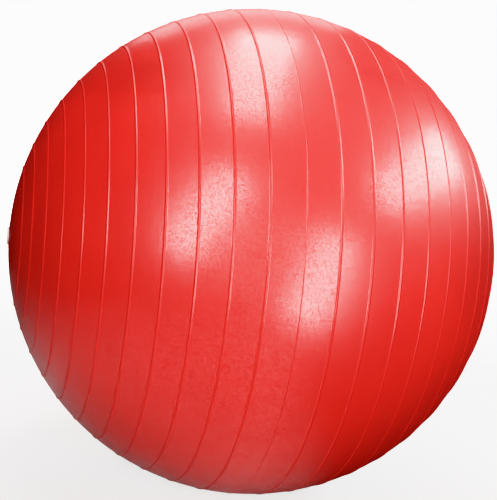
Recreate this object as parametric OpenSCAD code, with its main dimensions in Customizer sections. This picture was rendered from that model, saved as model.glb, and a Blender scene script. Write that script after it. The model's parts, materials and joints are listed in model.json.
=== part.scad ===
// Exercise ball: one hollow moulded skin with rib rings round its valve axis, a soft valve insert
// bonded into one pole, and a push-in plug. The valve axis lies along X, with the valve at the -X
// pole. The origin is on the floor, under the middle of the ball.

/* [Ball] */
// Outside diameter of the inflated skin, between the ribs
ball_d = 550; // [450:10:750]
// Wall thickness of the inflated skin
skin_t = 1; // [0.8:0.1:2]
// How far the ball's own weight flattens it on the floor
flat_depth = 0.45; // [0.2:0.05:0.45]

/* [Ribs] */
// Number of ribs on each side of the parting line
ribs_per_side = 11; // [4:1:12]
// How far a rib stands above the skin
rib_h = 1.8; // [1:0.1:2.5]
// Width of a rib
rib_w = 2.2; // [1.8:0.1:3]
// Angle from the valve's pole to the last rib on its side
valve_cap = 16; // [10:1:30]
// Angle from the far pole to the last rib on its side
far_cap = 21; // [10:1:30]
// How much wider the ribs are spaced beside the parting line than near the valve
rib_crowding = 0.1; // [0:0.02:0.3]

/* [Parting line] */
// Angle of the parting line off the middle, towards the valve
parting_lat = 5.5; // [0:0.5:8]
// How far the parting line stands above the skin
parting_h = 0.6; // [0.3:0.1:1]
// Width of the parting line
parting_w = 1.4; // [1:0.1:2]

/* [Valve insert] */
// Diameter of the collar that shows on the outside, with the plug's seat on it
collar_d = 26; // [24:1:34]
// Diameter of the flange bonded under the skin
flange_d = 44; // [38:1:60]
// Thickness of the flange
flange_t = 1.6; // [1:0.1:3]
// Outside diameter of the valve tube
tube_d = 17; // [15:0.5:20]
// Length of the valve tube, from the seat inwards
tube_l = 28; // [26:1:40]

/* [Plug] */
// Diameter of the plug's head
head_d = 19; // [17:0.5:22]
// Thickness of the plug's head
head_t = 2; // [1.5:0.1:3]
// Diameter of the widest step of the stem
stem_d = 10; // [9:0.5:11]
// How much narrower each next step of the stem is
step_drop = 1; // [0.5:0.1:1.5]
// Length of one step of the stem
step_l = 7; // [6:0.5:8]
// Radial gap between the stem and the valve tube's bore
plug_gap = 0.05; // [0.02:0.01:0.1]

/* [Hidden] */
$fn = 180;
STEPS = 3;           // steps of the stem, each with its own stretch of bore
SEAT_DROP = 0.35;    // the collar's flat face lies this far under the skin's pole
HEAD_REST = 0.05;    // air under the head while the plug is home
NOSE_CHAMFER = 1;    // lead-in at the tip of the stem
RING_ROOT = 0.4;     // depth to which a ring's fin is rooted in the skin
ball_r = ball_d / 2;
skin_in_r = ball_r - skin_t;
centre_z = ball_r - flat_depth;
seat_y = ball_r - SEAT_DROP;
valve_span = 90 - parting_lat - valve_cap;
far_span = 90 + parting_lat - far_cap;

// Latitude of a rib on the valve's side, for u from 0 at the parting line to 1 at the last rib
function valve_side_lat(u) = parting_lat + valve_span * (u + rib_crowding * u * (1 - u));

// Latitude of a rib on the far side, evenly spaced
function far_side_lat(u) = parting_lat - far_span * u;

// Children modelled along +Z from the ball's centre are turned onto the valve axis
module on_valve_axis() {
    translate([0, 0, centre_z]) rotate([0, -90, 0]) children();
}

// Cuts its children off flat at the given height
module above(z) {
    intersection() {
        children();
        translate([-ball_d, -ball_d, z]) cube(2 * ball_d);
    }
}

// One moulded ring's section at the given latitude: a fin with a bevelled crest
module ring_section(lat, height, width) {
    side = width / 2;
    rotate(lat) polygon([
        [ball_r - RING_ROOT, -side],
        [ball_r + height / 2, -side],
        [ball_r + height, -side / 2],
        [ball_r + height, side / 2],
        [ball_r + height / 2, side],
        [ball_r - RING_ROOT, side],
    ]);
}

// Keeps the half of a flat section that a revolve turns
module right_half() {
    intersection() {
        children();
        translate([0, -ball_d]) square([ball_d, 2 * ball_d]);
    }
}

// The half section of the ball's outside, with every ring
module outside_section() {
    right_half() {
        circle(ball_r);
        ring_section(parting_lat, parting_h, parting_w);
        for (i = [1 : ribs_per_side]) {
            ring_section(valve_side_lat(i / ribs_per_side), rib_h, rib_w);
            ring_section(far_side_lat(i / ribs_per_side), rib_h, rib_w);
        }
    }
}

// The half section of the flange, which follows the inside of the skin
module flange_section() {
    intersection() {
        difference() {
            circle(skin_in_r);
            circle(skin_in_r - flange_t);
        }
        square([flange_d / 2, ball_r]);
    }
}

// The stem's steps or the bore's stretches, wide at the seat, with gap added all round
module stepped_section(gap) {
    for (i = [0 : STEPS - 1])
        translate([0, seat_y - (i + 1) * step_l]) square([stem_d / 2 - i * step_drop / 2 + gap, step_l]);
}

// The hollow skin: ribbed outside, smooth inside, flat where it rests, open at the valve
module ball_shell() {
    color("crimson") difference() {
        above(0) on_valve_axis() rotate_extrude() outside_section();
        above(skin_t) on_valve_axis() rotate_extrude() right_half() circle(skin_in_r);
        on_valve_axis() translate([0, 0, seat_y - collar_d / 2]) cylinder(d = collar_d, h = collar_d);
    }
}

// The soft insert: flange under the skin, collar through it, and a tube with a stepped bore
module valve_insert() {
    color("firebrick") on_valve_axis() rotate_extrude() difference() {
        union() {
            flange_section();
            translate([0, seat_y - 2 * flange_t]) square([collar_d / 2, 2 * flange_t]);
            translate([0, seat_y - tube_l]) square([tube_d / 2, tube_l]);
        }
        stepped_section(plug_gap);
        translate([0, seat_y - tube_l]) square([stem_d / 2 - STEPS * step_drop / 2, tube_l]);
    }
}

// The plug: a flat round head and a stepped stem with a chamfered nose
module valve_plug() {
    nose_y = seat_y - STEPS * step_l + HEAD_REST;
    nose_r = (stem_d - (STEPS - 1) * step_drop) / 2;
    color("white") on_valve_axis() rotate_extrude() {
        translate([0, seat_y + HEAD_REST]) square([(head_d - head_t) / 2, head_t]);
        translate([(head_d - head_t) / 2, seat_y + HEAD_REST + head_t / 2]) intersection() {
            circle(d = head_t, $fn = 32);
            translate([0, -head_t]) square(2 * head_t);
        }
        difference() {
            translate([0, HEAD_REST]) stepped_section(0);
            polygon([
                [nose_r - NOSE_CHAMFER, nose_y],
                [nose_r, nose_y],
                [nose_r, nose_y + NOSE_CHAMFER],
            ]);
        }
    }
}

ball_shell();
valve_insert();
valve_plug();
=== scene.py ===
"""The looks of the exercise ball: a ribbed PVC skin, its valve insert and its push-in plug."""

import json
import math

import bpy
import numpy as np
from mathutils import Matrix, Vector


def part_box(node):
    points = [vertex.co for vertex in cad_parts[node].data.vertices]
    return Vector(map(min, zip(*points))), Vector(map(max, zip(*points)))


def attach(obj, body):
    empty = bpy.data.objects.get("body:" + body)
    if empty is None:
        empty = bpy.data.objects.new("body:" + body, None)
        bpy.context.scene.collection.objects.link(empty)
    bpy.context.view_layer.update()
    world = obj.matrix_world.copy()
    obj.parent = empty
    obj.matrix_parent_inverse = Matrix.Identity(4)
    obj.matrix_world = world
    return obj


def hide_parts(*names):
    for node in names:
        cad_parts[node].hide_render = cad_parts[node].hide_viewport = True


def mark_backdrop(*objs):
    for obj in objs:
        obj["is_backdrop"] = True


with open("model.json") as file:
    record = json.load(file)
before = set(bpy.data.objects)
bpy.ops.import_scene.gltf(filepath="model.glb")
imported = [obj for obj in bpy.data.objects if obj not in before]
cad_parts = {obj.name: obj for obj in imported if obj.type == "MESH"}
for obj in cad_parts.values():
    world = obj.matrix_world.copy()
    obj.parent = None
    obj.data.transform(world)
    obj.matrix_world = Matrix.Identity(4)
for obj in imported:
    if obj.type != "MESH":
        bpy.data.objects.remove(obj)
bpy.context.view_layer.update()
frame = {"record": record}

# ---------------------------------------------------------------- driving dimensions, in metres and degrees

MM = 0.001
DEG = math.pi / 180
mounts = {m["name"]: m for m in frame["record"]["mounts"]}
PORT = Vector(mounts["pump_port"]["pos_m"])
CENTRE = Vector((0, 0, PORT.z))
SKIN_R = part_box("ball_shell")[1].x  # the far pole is smooth, so it is as far out as the skin
SKIN_T = 1 * MM
SPARE_T = 0.3 * MM  # extra thickness inward, to make up for the swells of the outside
SEAT = -PORT.x  # the plug's seat, along the valve axis from the ball's centre

RIBS_PER_SIDE = 11
PARTING_LAT = 5.5
VALVE_CAP = 16  # from the valve's pole to the last rib on its side
FAR_CAP = 21  # from the far pole to the last rib on its side
RIB_CROWDING = 0.1  # how much wider the ribs are spaced beside the parting line than near the valve
RIB_H, RIB_W = 0.65 * MM, 3.2 * MM
PARTING_H, PARTING_W = 0.25 * MM, 1.3 * MM
RING_REACH = 1.3  # where the skin beside a ring is level, in half widths of the ring from its middle
POLE_GAP = 0.6  # from the far pole to the first row of the skin

WAVES = [  # (turns round the axis, drift with latitude, phase, sideways wander in degrees, swell in metres)
    (1, 1.3, 0.4, 0.10, 0.15 * MM),
    (2, 0.7, 2.1, 0.12, 0.12 * MM),
    (3, 2.0, 4.4, 0.07, 0.08 * MM),
    (5, 1.1, 1.2, 0.03, 0.05 * MM),
]
SWELL_ROOM = sum(wave[-1] for wave in WAVES) / 2  # keeps the swollen skin inside the CAD model's box
PANEL_SAG = 0.04 * MM  # how far the middle of a panel lies inside the sphere
RING_UNEVEN = 0.08  # how much a ring's height varies along it, as a share
REST_SOFTNESS = 0.15 * MM  # how soft the edge of the resting flat is

COLLAR_R = 13 * MM
COLLAR_GAP = 0.05 * MM  # between the collar and the hole in the skin
HOLE_EDGE = 0.5 * MM  # from the collar to where the skin turns in to the hole
INSERT_GAP = 0.35 * MM  # between the skin's inside and the insert's flange
BORE = [(5.05, 0, 7), (4.55, 7, 14), (4.05, 14, 21), (3.5, 21, 28)]  # (radius, from depth, to depth) in mm
SEAT_GROOVES = (10.6 * MM, 11.6 * MM)  # radii of the grooves round the seat
GROOVE = [(-0.25, 0.0), (-0.15, 0.12), (0.0, 0.16), (0.15, 0.12), (0.25, 0.0)]  # (across, depth) in mm

COLUMNS = 240  # of points round the skin
TURNED_COLUMNS = 96  # round the insert and the plug
RING_ROWS = 11  # across one rib
PANEL_ROWS = 5  # between two ribs
CAP_ROWS = 12  # from the last rib to a pole
INNER_ROWS = 30  # over the inside of the skin


# ---------------------------------------------------------------- meshes


def grid_mesh(name, rows, ring=False):
    """A closed surface of quads through rows of points, each row one turn round the valve axis.

    Its first and last rows close in fans, or in a ring they join each other.
    """
    rows = np.asarray(rows)
    n_rows, n_cols = rows.shape[:2]
    index = np.arange(n_rows * n_cols).reshape(n_rows, n_cols)
    if ring:
        index = np.vstack([index, index[:1]])
    turned = np.roll(index, -1, axis=1)
    quads = np.stack([index[:-1], turned[:-1], turned[1:], index[1:]], axis=-1)
    faces = quads.reshape(-1, 4).tolist()
    points = rows.reshape(-1, 3)
    if not ring:
        points = np.vstack([points, rows[0].mean(axis=0), rows[-1].mean(axis=0)])
        first, last = len(points) - 2, len(points) - 1
        faces += [(first, b, a) for a, b in zip(index[0], turned[0])]
        faces += [(last, a, b) for a, b in zip(index[-1], turned[-1])]
    mesh = bpy.data.meshes.new(name)
    mesh.from_pydata(points.tolist(), [], faces)
    mesh.shade_smooth()
    mesh.validate()
    piece = bpy.data.objects.new(name, mesh)
    bpy.context.scene.collection.objects.link(piece)
    return piece


def round_turn(steps):
    """Evenly spaced angles round one turn, in radians."""
    return np.arange(steps) * 2 * math.pi / steps


def on_valve_axis(radius, along, angle):
    """Points at a radius from the valve axis, and this far along it from the centre towards the valve."""
    radius, along, angle = np.broadcast_arrays(radius, along, angle)
    x = CENTRE.x - along
    y = CENTRE.y + radius * np.cos(angle)
    z = CENTRE.z + radius * np.sin(angle)
    return np.stack([x, y, z], axis=-1)


def arc(centre, radius, start, end, steps=5):
    """Outline points (radius from the axis, distance along it) of a rounded corner, by angles in degrees."""
    turns = np.linspace(start, end, steps) * DEG
    return [(centre[0] + radius * math.cos(t), centre[1] + radius * math.sin(t)) for t in turns]


def lathe(name, outline, ring=False):
    """A closed solid turned round the valve axis, from an outline that is a ring or starts and ends on it."""
    rows = [on_valve_axis(r, along, round_turn(TURNED_COLUMNS)) for r, along in outline]
    return grid_mesh(name, rows, ring)


# ---------------------------------------------------------------- ball skin


def ring_latitudes():
    """(latitude, height, width) of every moulded ring, from the far pole to the valve."""
    valve_span = 90 - PARTING_LAT - VALVE_CAP
    far_span = 90 + PARTING_LAT - FAR_CAP
    shares = [i / RIBS_PER_SIDE for i in range(1, RIBS_PER_SIDE + 1)]
    far = [(PARTING_LAT - far_span * u, RIB_H, RIB_W) for u in reversed(shares)]
    near = [(PARTING_LAT + valve_span * (u + RIB_CROWDING * u * (1 - u)), RIB_H, RIB_W) for u in shares]
    return far + [(PARTING_LAT, PARTING_H, PARTING_W)] + near


def ring_rows(lat, height, width):
    """Rows across one ring: (latitude, height of the ring there, bow of the panel there, crest share)."""
    half = width / 2 / SKIN_R / DEG
    rows = [(lat - half * RING_REACH, 0.0, 0.0, 0.0)]
    for across in np.linspace(-1, 1, RING_ROWS):
        crest = (1 + math.cos(across * math.pi)) / 2
        rows.append((lat + half * across, height * crest, 0.0, crest))
    return rows + [(lat + half * RING_REACH, 0.0, 0.0, 0.0)]


def skin_rows():
    """Every row of the outside of the skin, from the far pole to the valve's collar."""
    hole = 90 - math.asin((COLLAR_R + HOLE_EDGE) / SKIN_R) / DEG
    rows = []
    edge = -90 + POLE_GAP
    for lat, height, width in ring_latitudes() + [(hole, 0.0, 0.0)]:
        ring = ring_rows(lat, height, width) if width else [(hole, 0.0, 0.0, 0.0)]
        at_pole = not rows or not width
        count = CAP_ROWS if at_pole else PANEL_ROWS
        for i in range(0 if not rows else 1, count):
            share = i / count
            bow = 0.0 if at_pole else 1 - (2 * share - 1) ** 2
            rows.append((edge + (ring[0][0] - edge) * share, 0.0, bow, 0.0))
        rows += ring
        edge = ring[-1][0]
    return np.array(rows)


def wander(lat, angle):
    """Slow sideways drift of the rings and swell of the skin at that latitude and angle."""
    side, swell = 0.0, 0.0
    for turns, drift, phase, side_deg, swell_m in WAVES:
        wave = np.sin(turns * angle + drift * lat * DEG + phase) * np.cos(lat * DEG)
        side, swell = side + side_deg * wave, swell + swell_m * wave
    return side, swell


def rest_on(height, points):
    """Presses points flat on a plane at that height, with a soft edge."""
    above = points[..., 2] - height
    points[..., 2] = height + (above + np.sqrt(above**2 + REST_SOFTNESS**2)) / 2
    return points


def skin_outside(rows, angle):
    """Points over the outside of the skin: rings, sagging panels and a slow swell, flat where it rests."""
    lat, ring, bow = (column[:, None] for column in rows.T[:3])
    side, swell = wander(lat, angle[None])
    at = (lat + side) * DEG
    uneven = 1 + RING_UNEVEN * np.sin(7 * angle + 11 * lat * DEG)
    out = SKIN_R + ring * uneven - PANEL_SAG * bow + swell - SWELL_ROOM
    return rest_on(0.0, on_valve_axis(out * np.cos(at), out * np.sin(at), angle[None]))


def skin_inside(hole_r, angle):
    """Points over the smooth inside of the skin, from the hole to the far pole."""
    hole_lat = 90 - math.asin(hole_r / (SKIN_R - SKIN_T)) / DEG
    lat = np.linspace(hole_lat, -90 + POLE_GAP, INNER_ROWS)[:, None] * DEG
    radius = SKIN_R - SKIN_T - SPARE_T
    return rest_on(SKIN_T, on_valve_axis(radius * np.cos(lat), radius * np.sin(lat), angle[None]))


def ball_skin():
    """The hollow skin, with a point attribute that says how near each point is to the crest of a ring."""
    rows = skin_rows()
    angle = round_turn(COLUMNS)
    outside = skin_outside(rows, angle)
    hole_r = COLLAR_R + COLLAR_GAP
    lip_outline = [
        (hole_r + 0.12 * MM, SEAT + 0.02 * MM),
        (hole_r, SEAT - 0.12 * MM),
        (hole_r, SEAT - 0.6 * MM),
    ]
    lip = [on_valve_axis(r, along, angle) for r, along in lip_outline]
    piece = grid_mesh("ball_skin", np.concatenate([outside, lip, skin_inside(hole_r, angle)]))
    piece.data.flip_normals()
    crest_layer = piece.data.attributes.new("crest", "FLOAT", "POINT")
    values = np.zeros(len(piece.data.vertices), np.float32)
    values[: outside.shape[0] * COLUMNS] = np.repeat(rows[:, 3], COLUMNS)
    crest_layer.data.foreach_set("value", values)
    return piece


# ---------------------------------------------------------------- valve


def valve_collar():
    """The insert: a collar with the plug's seat, a flange under the skin, and a tube with a stepped bore."""
    flange_r, flange_t, tube_r, tube_l = 22 * MM, 1.6 * MM, 8.5 * MM, 28 * MM
    edge, fillet = 0.35 * MM, 2 * MM
    under = SKIN_R - SKIN_T - INSERT_GAP
    flange_rim = math.sqrt(under**2 - flange_r**2)

    outline = arc((COLLAR_R - edge, SEAT - edge), edge, 90, 0)
    spread = [COLLAR_R, *np.linspace(COLLAR_R + 1 * MM, flange_r - 0.3 * MM, 5)]
    outline += [(r, math.sqrt(under**2 - r**2)) for r in spread]
    outline += [(flange_r, flange_rim - 0.4 * MM), (flange_r - 0.2 * MM, flange_rim - flange_t)]
    outline += arc((tube_r + fillet, under - flange_t - fillet), fillet, 90, 180)
    outline += arc((tube_r - 2 * edge, SEAT - tube_l + 2 * edge), 2 * edge, 0, -90)
    for r, shallow, deep in reversed(BORE):
        outline += [(r * MM, SEAT - deep * MM), (r * MM, SEAT - max(shallow * MM, edge))]
    outline += arc((BORE[0][0] * MM + edge, SEAT - edge), edge, 180, 90)
    for groove_r in SEAT_GROOVES:
        outline += [(groove_r + side * MM, SEAT - deep * MM) for side, deep in GROOVE]
    return lathe("valve_collar", outline, ring=True)


def push_in_plug():
    """The plug: a dished head with a rolled rim, and a stem of three tapered steps."""
    head_r, head_t = 9.5 * MM, 2 * MM
    step_l, stem_steps = 7 * MM, (5 * MM, 4.5 * MM, 4 * MM)
    under = SEAT + 0.05 * MM
    top = under + head_t
    rim = head_t / 2
    dish = ((0.4, 0.35), (1.2, 0.5), (5.5, 0.45), (6.6, 0.1))  # (radius, depth below the rim) in mm
    outline = [(r * MM, top - deep * MM) for r, deep in dish]
    outline += arc((head_r - rim, under + rim), rim, 90, -90, 9)
    outline += [(5.4 * MM, under)]
    for i, r in enumerate(stem_steps):
        start = under - i * step_l
        outline += [(r, start - 0.3 * MM), (r, start - 5.2 * MM), (r - 0.35 * MM, start - 6.6 * MM)]
    tip = under - len(stem_steps) * step_l
    outline += [(3 * MM, tip), (0.5 * MM, tip)]
    return lathe("push_in_plug", outline)


# ---------------------------------------------------------------- materials


class Nodes:
    """Short forms for building one material's node tree."""

    def __init__(self, name):
        self.material = bpy.data.materials.new(name)
        self.material.use_nodes = True
        self.tree = self.material.node_tree
        self.shader = self.tree.nodes["Principled BSDF"]
        self.place = self.add("ShaderNodeTexCoord").outputs["Object"]

    def add(self, kind, **settings):
        node = self.tree.nodes.new(kind)
        for key, value in settings.items():
            setattr(node, key, value)
        return node

    def link(self, out, into):
        self.tree.links.new(out, into)

    def noise(self, scale, detail=2.0):
        node = self.add("ShaderNodeTexNoise")
        node.inputs["Scale"].default_value = scale
        node.inputs["Detail"].default_value = detail
        self.link(self.place, node.inputs["Vector"])
        return node.outputs["Fac"]

    def remap(self, value, low, high, to_low, to_high):
        node = self.add("ShaderNodeMapRange")
        for key, number in zip(("From Min", "From Max", "To Min", "To Max"), (low, high, to_low, to_high)):
            node.inputs[key].default_value = number
        self.link(value, node.inputs["Value"])
        return node.outputs["Result"]

    def mix(self, share, a, b):
        node = self.add("ShaderNodeMix", data_type="RGBA")
        for value, socket in ((share, node.inputs["Factor"]), (a, node.inputs["A"]), (b, node.inputs["B"])):
            if isinstance(value, bpy.types.NodeSocket):
                self.link(value, socket)
            else:
                socket.default_value = value
        return node.outputs["Result"]

    def times(self, a, b):
        node = self.add("ShaderNodeMath", operation="MULTIPLY")
        self.link(a, node.inputs[0])
        self.link(b, node.inputs[1])
        return node.outputs[0]

    def bump(self, height, distance):
        node = self.add("ShaderNodeBump")
        node.inputs["Distance"].default_value = distance
        self.link(height, node.inputs["Height"])
        return node.outputs["Normal"]


def grey(level):
    """A grey colour."""
    return (level, level, level, 1)


def pvc_skin():
    """Satin red PVC with a fine grain: its pits and the rubbed crests of the rings break up a thin gloss."""
    red, deep_red = (0.80, 0.046, 0.038, 1), (0.75, 0.040, 0.034, 1)
    pit_red, crest_red = (0.62, 0.030, 0.026, 1), (0.74, 0.040, 0.034, 1)
    pit_gloss, crest_gloss = grey(0.2), grey(0.28)
    n = Nodes("ball_pvc")
    cloud = n.remap(n.noise(7, 3), 0.35, 0.65, 0, 1)
    grain = n.noise(700, 0)
    pits = n.remap(grain, 0.48, 0.58, 0, 1)
    crest = n.add("ShaderNodeAttribute", attribute_name="crest").outputs["Fac"]
    colour = n.mix(n.remap(pits, 0, 1, 0, 0.3), n.mix(cloud, red, deep_red), pit_red)
    colour = n.mix(n.remap(crest, 0.05, 0.6, 0, 1), colour, crest_red)
    n.link(colour, n.shader.inputs["Base Color"])
    n.link(n.remap(n.noise(60), 0.3, 0.7, 0.46, 0.54), n.shader.inputs["Roughness"])
    gloss = n.mix(pits, grey(1), pit_gloss)
    rubbed = n.remap(crest, 0.02, 0.3, 0, 0.95)
    n.link(n.mix(rubbed, gloss, crest_gloss), n.shader.inputs["Coat Weight"])
    n.shader.inputs["Specular IOR Level"].default_value = 0.12
    n.shader.inputs["Coat Roughness"].default_value = 0.25
    surface = n.bump(grain, 0.02 * MM)
    n.link(surface, n.shader.inputs["Normal"])
    n.link(surface, n.shader.inputs["Coat Normal"])
    return n.material


def soft_pvc():
    """The softer, duller PVC of the insert."""
    n = Nodes("valve_pvc")
    cloud = n.noise(160, 3)
    n.link(n.mix(cloud, (0.62, 0.012, 0.012, 1), (0.52, 0.008, 0.010, 1)), n.shader.inputs["Base Color"])
    n.link(n.remap(n.noise(400), 0.3, 0.7, 0.42, 0.55), n.shader.inputs["Roughness"])
    n.link(n.bump(n.noise(1500), 0.03 * MM), n.shader.inputs["Normal"])
    return n.material


def plug_plastic():
    """White moulded plastic, faintly cloudy and scuffed."""
    n = Nodes("plug_plastic")
    cloud = n.remap(n.noise(220, 3), 0.3, 0.7, 0, 1)
    n.link(n.mix(cloud, (0.86, 0.86, 0.83, 1), (0.78, 0.78, 0.74, 1)), n.shader.inputs["Base Color"])
    n.link(n.remap(n.noise(900, 3), 0.3, 0.7, 0.28, 0.45), n.shader.inputs["Roughness"])
    n.link(n.bump(n.noise(700, 3), 0.02 * MM), n.shader.inputs["Normal"])
    return n.material


# ---------------------------------------------------------------- stage, lights and camera


def toward(azimuth, elevation):
    """Unit vector from the ball: azimuth 0 is -Y, the front, 90 is +X, and elevation is above the horizon."""
    a, e = azimuth * DEG, elevation * DEG
    return Vector((math.sin(a) * math.cos(e), -math.cos(a) * math.cos(e), math.sin(e)))


def soft_box(name, azimuth, elevation, distance, size, turn, shine, glow):
    """A box light that faces the ball's centre, its long side turned up from the level by turn degrees.

    It is two lamps in one place: one of radiance shine, seen only in the gloss, and one of radiance glow,
    which lights the rest.
    """
    away = toward(azimuth, elevation)
    level = Vector((0, 0, 1)).cross(away).normalized()
    long_side = level * math.cos(turn * DEG) + away.cross(level) * math.sin(turn * DEG)
    axes = Matrix((long_side, away.cross(long_side), away)).transposed()
    for part, radiance in (("shine", shine), ("glow", glow)):
        light = bpy.data.lights.new(f"{name}_{part}", "AREA")
        light.shape = "RECTANGLE"
        light.size, light.size_y = size
        light.energy = radiance * math.pi * size[0] * size[1]
        lamp = bpy.data.objects.new(f"{name}_{part}", light)
        lamp.matrix_world = Matrix.Translation(CENTRE + away * distance) @ axes.to_4x4()
        lamp.visible_camera = False
        lamp.visible_diffuse = part == "glow"
        lamp.visible_glossy = part == "shine"
        bpy.context.scene.collection.objects.link(lamp)


def sheet_mesh(name, corners, height):
    """A level sheet that belongs to the studio."""
    mesh = bpy.data.meshes.new(name)
    mesh.from_pydata([(x, y, height) for x, y in corners], [], [range(len(corners))])
    piece = bpy.data.objects.new(name, mesh)
    bpy.context.scene.collection.objects.link(piece)
    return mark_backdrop(piece) or piece


def pale(name):
    """The nodes of a dull sheet that gives off some white light."""
    n = Nodes(name)
    n.shader.inputs["Roughness"].default_value = 0.9
    n.shader.inputs["Specular IOR Level"].default_value = 0.2
    n.shader.inputs["Emission Color"].default_value = grey(1)
    return n


def pale_floor():
    """The floor that the camera sees, which fades into the backdrop."""
    radius, fade_from, fade_to = 3, 0.9, 2.4
    rim = [(radius * math.cos(t), radius * math.sin(t)) for t in round_turn(64)]
    floor = sheet_mesh("floor", rim, -0.2 * MM)
    n = pale("floor")
    n.shader.inputs["Base Color"].default_value = grey(0.42)
    n.shader.inputs["Emission Strength"].default_value = 0.75
    away = n.add("ShaderNodeVectorMath", operation="LENGTH")
    n.link(n.place, away.inputs[0])
    n.link(n.remap(away.outputs["Value"], fade_from, fade_to, 1, 0), n.shader.inputs["Alpha"])
    floor.data.materials.append(n.material)
    floor.visible_glossy = floor.visible_diffuse = floor.visible_shadow = False


def mirrored_table():
    """The table top that only the ball's gloss sees: a painted glow makes it brighter in front of the ball,
    painted shadow of the ball darkens it behind, and it fades at three edges.
    """
    left, right, front, back = -1.3, 0.4, -1.1, 1.3
    (glow_at, glow), (dim_at, dim) = (-0.23, 0.6), (-0.105, 0.07)  # (Y, emission) in front and behind: a painted glow, brighter in front of the ball
    (pale_at, pale_level), (shadow_at, shadow_level) = (-0.1, 0.9), (0.5, 0.15)  # (Y, grey) in front and behind: painted shadow of the ball, darker behind it
    corners = [(left, front), (right, front), (right, back), (left, back)]
    edges = (("Y", -1.0, -0.5), ("X", -0.95, -0.3), ("X", 0.11, -0.02))  # (axis, where it is gone, full)
    table = sheet_mesh("table_top", corners, -0.6 * MM)
    n = pale("table_top")
    at = n.add("ShaderNodeSeparateXYZ")
    n.link(n.place, at.inputs[0])
    # painted glow: the table top gives off more light in front of the ball than behind it
    n.link(n.remap(at.outputs["Y"], glow_at, dim_at, glow, dim), n.shader.inputs["Emission Strength"])
    # painted shadow of the ball: the table top turns dark grey behind it
    shade = n.mix(n.remap(at.outputs["Y"], pale_at, shadow_at, 0, 1), grey(pale_level), grey(shadow_level))
    n.link(shade, n.shader.inputs["Base Color"])
    fades = [n.remap(at.outputs[axis], gone, full, 0, 1) for axis, gone, full in edges]
    n.link(n.times(n.times(fades[0], fades[1]), fades[2]), n.shader.inputs["Alpha"])
    table.data.materials.append(n.material)
    table.visible_camera = table.visible_diffuse = False


def studio():
    """White behind the ball for the camera, and a dim room round it, bright high up at the back right."""
    patch_at, patch_edge, patch_full = (0.45, 0.68, 0.58), 0.62, 0.97
    patch, even_light, backdrop_white = 1.1, 0.09, 3.0
    world = bpy.data.worlds.new("studio")
    bpy.context.scene.world = world
    world.use_nodes = True
    world.cycles.sampling_method = "NONE"  # so that the room can be brighter to diffuse rays
    nodes, links = world.node_tree.nodes, world.node_tree.links
    rays = nodes.new("ShaderNodeLightPath")

    facing = nodes.new("ShaderNodeVectorMath")
    facing.operation = "DOT_PRODUCT"
    links.new(nodes.new("ShaderNodeTexCoord").outputs["Generated"], facing.inputs[0])
    facing.inputs[1].default_value = patch_at
    ramp = nodes.new("ShaderNodeMapRange")
    ramp.interpolation_type = "SMOOTHSTEP"
    ramp.inputs["From Min"].default_value = patch_edge
    ramp.inputs["From Max"].default_value = patch_full
    ramp.inputs["To Max"].default_value = patch
    links.new(facing.outputs["Value"], ramp.inputs["Value"])

    total = nodes.new("ShaderNodeMath")
    total.operation = "MULTIPLY_ADD"
    links.new(rays.outputs["Is Diffuse Ray"], total.inputs[0])
    total.inputs[1].default_value = even_light
    links.new(ramp.outputs["Result"], total.inputs[2])
    room = nodes["Background"]
    links.new(total.outputs[0], room.inputs["Strength"])

    backdrop = nodes.new("ShaderNodeBackground")
    backdrop.inputs["Strength"].default_value = backdrop_white
    backdrop.inputs["Color"].default_value = grey(1)
    mix = nodes.new("ShaderNodeMixShader")
    links.new(rays.outputs["Is Camera Ray"], mix.inputs["Fac"])
    links.new(room.outputs[0], mix.inputs[1])
    links.new(backdrop.outputs[0], mix.inputs[2])
    links.new(mix.outputs[0], nodes["World Output"].inputs["Surface"])


def lights():
    """Four boxes that make the photo's four highlights, a back box for the valve's side, and two fills."""
    soft_box("overhead_box", -68, 86, 1.5, size=(1.4, 0.42), turn=137, shine=37, glow=15)
    soft_box("left_box", -35, 19, 1.5, size=(0.95, 0.35), turn=62, shine=38, glow=6)
    soft_box("right_box", 72, 31, 1.5, size=(1.45, 0.34), turn=0, shine=36, glow=9)
    soft_box("low_box", 12, -2.5, 1.2, size=(0.69, 0.28), turn=69, shine=39, glow=6)
    soft_box("front_fill", -10, 4, 2.2, size=(1.4, 1.4), turn=0, shine=0, glow=7.5)
    soft_box("back_box", 172, 38, 1.6, size=(1.0, 0.5), turn=0, shine=2.5, glow=12)
    soft_box("back_fill", 186, -4, 2.2, size=(1.4, 1.4), turn=0, shine=0, glow=4.5)


def camera():
    """Low and slightly left of the front, leaning a little, as the ball lies in its picture."""
    azimuth, elevation, lean = -15.7, 6.1, 5.5
    distance = 4 * SKIN_R
    aim_shift = Vector((-0.010, 0.006, 0)) * SKIN_R  # rightwards and upwards in the picture
    data = bpy.data.cameras.new("camera")
    data.sensor_width = 36
    data.lens = 67.8
    cam = bpy.data.objects.new("camera", data)
    away = toward(azimuth, elevation)
    look = (-away).to_track_quat("-Z", "Y").to_matrix() @ Matrix.Rotation(lean * DEG, 3, "Z")
    aim = CENTRE + look @ aim_shift
    cam.matrix_world = Matrix.Translation(aim + away * distance) @ look.to_4x4()
    bpy.context.scene.collection.objects.link(cam)
    bpy.context.scene.camera = cam


# ---------------------------------------------------------------- the build

for piece, material, body, node, slot in (
    (ball_skin(), pvc_skin(), "ball", "ball_shell", "ball_skin"),
    (valve_collar(), soft_pvc(), "ball", "valve_insert", "valve_rubber"),
    (push_in_plug(), plug_plastic(), "plug", "valve_plug", "plug_plastic"),
):
    piece.data.materials.append(material)
    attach(piece, body)
    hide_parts(node)

pale_floor()
mirrored_table()
studio()
lights()
camera()
bpy.context.scene.view_settings.view_transform = "Khronos PBR Neutral"
